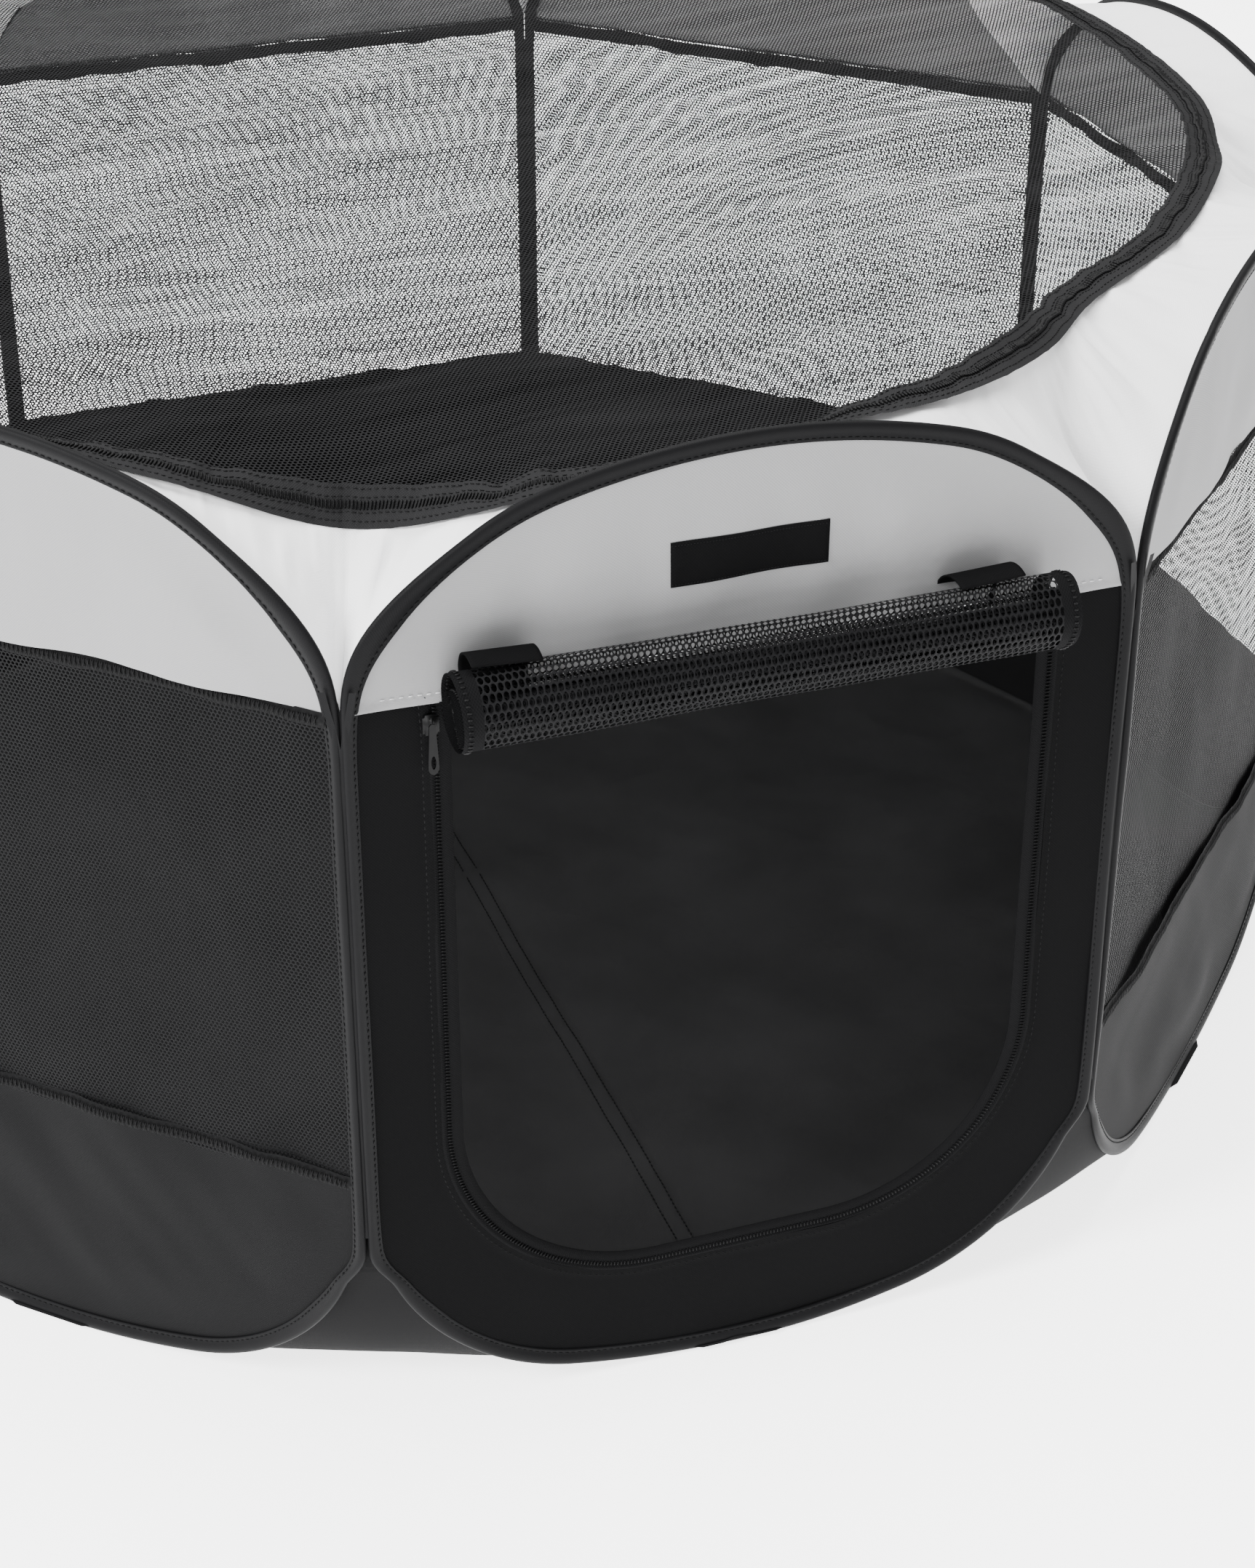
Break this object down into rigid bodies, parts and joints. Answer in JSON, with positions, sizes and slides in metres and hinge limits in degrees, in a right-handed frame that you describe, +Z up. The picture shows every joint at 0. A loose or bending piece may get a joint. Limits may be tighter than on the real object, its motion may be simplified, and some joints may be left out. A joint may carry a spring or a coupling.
{
  "type": "pet playpen",
  "caption": "Octagonal pop-up fabric pet playpen with sprung wire panels, mesh windows, a zipped mesh top and a rolled-up zip door.",
  "frame": {"origin": "centre of the floor's underside, on the ground", "axes": "+Z up; -Y is the way the door panel faces; +X to the right of someone facing the door"},
  "size_m": [1.1198, 1.1646, 0.6099],
  "materials": {
    "spring_wire": "satin",
    "binding_tape": "woven tape",
    "light_band": "oxford weave",
    "black_mesh": "open mesh",
    "dark_band": "coated oxford weave",
    "door_fabric": "oxford weave",
    "white_web": "plain weave",
    "zip_tape": "woven tape",
    "slider_metal": "satin"
  },
  "bodies": {
    "base": {"floor_sheet": "dark_band", "floor_webs": "dark_band", "top_webs": "white_web", "top_zip_tape": "zip_tape", "cover_zip_tape": "zip_tape", "cover_mesh": "black_mesh", "corner_seam_0": "zip_tape"},
    "panel_0": {"wire_loop_0": "spring_wire", "binding_0": "binding_tape", "upper_band_0": "light_band", "door_surround": "door_fabric", "door_zip_tape": "zip_tape", "door_roll": "black_mesh", "roll_straps": "door_fabric", "corner_seam_1": "zip_tape"},
    "panel_1": {"wire_loop_1": "spring_wire", "binding_1": "binding_tape", "upper_band_1": "light_band", "mesh_window_1": "black_mesh", "lower_band_1": "dark_band", "corner_seam_2": "zip_tape"},
    "panel_2": {"wire_loop_2": "spring_wire", "binding_2": "binding_tape", "upper_band_2": "light_band", "mesh_window_2": "black_mesh", "lower_band_2": "dark_band", "corner_seam_3": "zip_tape"},
    "panel_3": {"wire_loop_3": "spring_wire", "binding_3": "binding_tape", "upper_band_3": "light_band", "mesh_window_3": "black_mesh", "lower_band_3": "dark_band", "corner_seam_4": "zip_tape"},
    "panel_4": {"wire_loop_4": "spring_wire", "binding_4": "binding_tape", "upper_band_4": "light_band", "mesh_window_4": "black_mesh", "lower_band_4": "dark_band"},
    "panel_5": {"wire_loop_5": "spring_wire", "binding_5": "binding_tape", "upper_band_5": "light_band", "mesh_window_5": "black_mesh", "lower_band_5": "dark_band", "corner_seam_5": "zip_tape"},
    "panel_6": {"wire_loop_6": "spring_wire", "binding_6": "binding_tape", "upper_band_6": "light_band", "mesh_window_6": "black_mesh", "lower_band_6": "dark_band", "corner_seam_6": "zip_tape"},
    "panel_7": {"wire_loop_7": "spring_wire", "binding_7": "binding_tape", "upper_band_7": "light_band", "mesh_window_7": "black_mesh", "lower_band_7": "dark_band", "corner_seam_7": "zip_tape"},
    "door_slider": {"door_slider": "slider_metal"},
    "door_pull": {"door_pull": "slider_metal"},
    "top_slider": {"top_slider": "slider_metal"},
    "top_pull": {"top_pull": "slider_metal"}
  },
  "joints": [
    {"name": "fold", "type": "hinge", "parent": "panel_0", "child": "panel_1", "pos_m": [0.22876, -0.55227, 0.3], "axis": [0, 0, 1], "range_deg": [0, 116.1], "deforming": ["floor_sheet", "floor_webs", "top_webs", "top_zip_tape", "cover_zip_tape", "cover_mesh"]},
    {"name": "fold_corner_0a", "type": "hinge", "parent": "base", "child": "panel_0", "pos_m": [-0.23, -0.55527, 0.3], "axis": [0, 0, 1], "range_deg": [-19.65, 0]},
    {"name": "fold_corner_2", "type": "hinge", "parent": "panel_1", "child": "panel_2", "pos_m": [0.55827, -0.23124, 0.3], "axis": [0, 0, 1], "range_deg": [-193.8, 0]},
    {"name": "fold_corner_3", "type": "hinge", "parent": "panel_2", "child": "panel_3", "pos_m": [0.55227, 0.22876, 0.3], "axis": [0, 0, 1], "range_deg": [0, 116.4]},
    {"name": "fold_corner_0b", "type": "hinge", "parent": "base", "child": "panel_7", "pos_m": [-0.23, -0.55527, 0.3], "axis": [0, 0, 1], "range_deg": [0, 19.65]},
    {"name": "fold_corner_7", "type": "hinge", "parent": "panel_7", "child": "panel_6", "pos_m": [-0.55227, -0.22876, 0.3], "axis": [0, 0, 1], "range_deg": [-116.4, 0]},
    {"name": "fold_corner_6", "type": "hinge", "parent": "panel_6", "child": "panel_5", "pos_m": [-0.55827, 0.23124, 0.3], "axis": [0, 0, 1], "range_deg": [0, 193.8]},
    {"name": "fold_corner_5", "type": "hinge", "parent": "panel_5", "child": "panel_4", "pos_m": [-0.22876, 0.55227, 0.3], "axis": [0, 0, 1], "range_deg": [-116.4, 0]},
    {"name": "door_zip", "type": "slide", "parent": "panel_0", "child": "door_slider", "axis": [0, 0, -1], "range_m": [0, 0.25]},
    {"name": "door_pull_swing", "type": "hinge", "parent": "door_slider", "child": "door_pull", "pos_m": [-0.182, -0.56127, 0.4714], "axis": [-1, 0, 0], "range_deg": [0, 150]},
    {"name": "top_zip", "type": "slide", "parent": "panel_6", "child": "top_slider", "axis": [0, -1, 0], "range_m": [0, 0.16]},
    {"name": "top_pull_swing", "type": "hinge", "parent": "top_slider", "child": "top_pull", "pos_m": [-0.53897, 0.09, 0.6052], "axis": [-1, 0, 0], "range_deg": [0, 165]}
  ],
  "couplings": [
    {"joint": "fold_corner_0a", "follows": "fold", "ratio": -0.16667},
    {"joint": "fold_corner_2", "follows": "fold", "ratio": -1.6667},
    {"joint": "fold_corner_3", "follows": "fold", "ratio": 1},
    {"joint": "fold_corner_0b", "follows": "fold", "ratio": 0.16667},
    {"joint": "fold_corner_7", "follows": "fold", "ratio": -1},
    {"joint": "fold_corner_6", "follows": "fold", "ratio": 1.6667},
    {"joint": "fold_corner_5", "follows": "fold", "ratio": -1}
  ]
}
